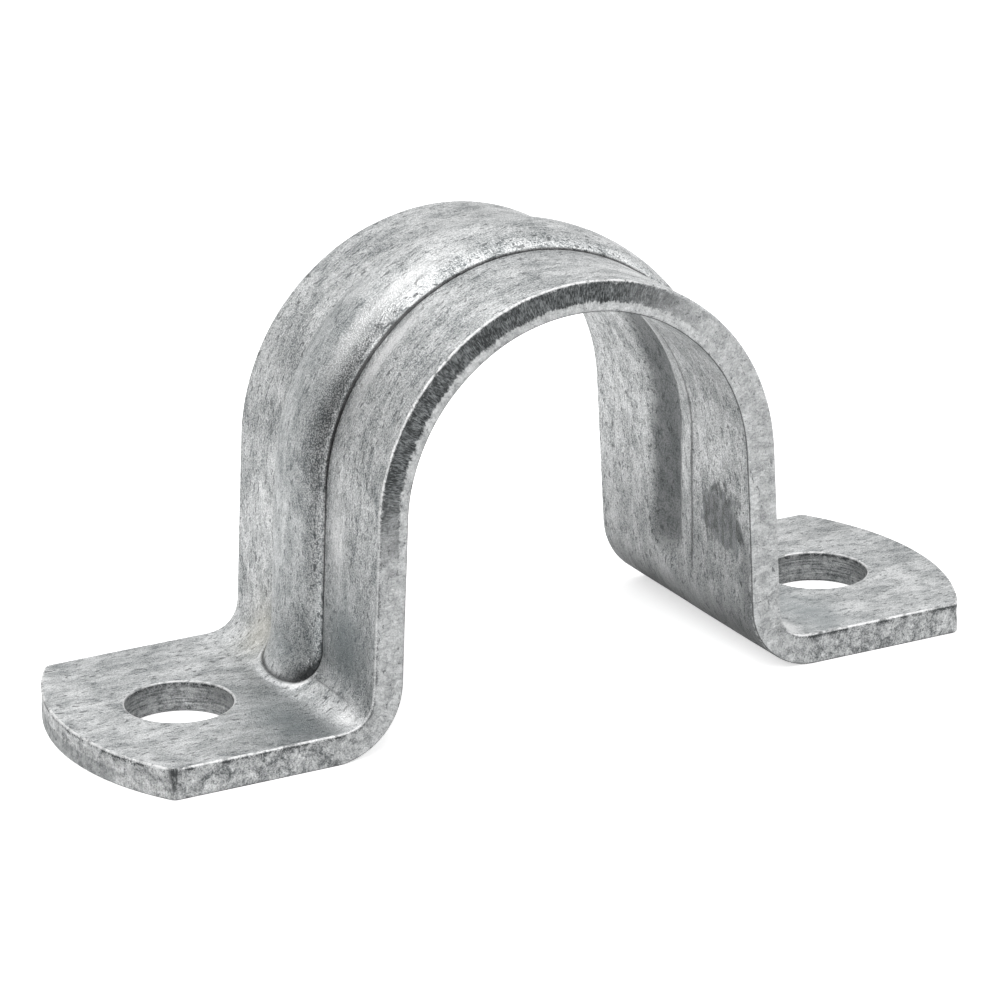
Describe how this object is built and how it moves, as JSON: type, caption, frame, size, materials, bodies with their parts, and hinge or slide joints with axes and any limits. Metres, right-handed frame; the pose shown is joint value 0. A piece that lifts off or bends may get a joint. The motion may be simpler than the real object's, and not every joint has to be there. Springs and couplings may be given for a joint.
{
  "type": "conduit strap",
  "caption": "Two-hole strap pressed from one galvanised steel strip: a beaded arch holds a conduit against the wall between two screw feet.",
  "frame": {"origin": "middle of the strap's underside, midway between the two feet, on the wall's surface", "axes": "+Z away from the wall, +Y along the conduit, +X from one screw hole to the other"},
  "size_m": [0.0692, 0.0216, 0.0328],
  "materials": {
    "strap": "galvanised, satin with mottled grain"
  },
  "bodies": {
    "root": {"strap": "strap"}
  },
  "joints": []
}
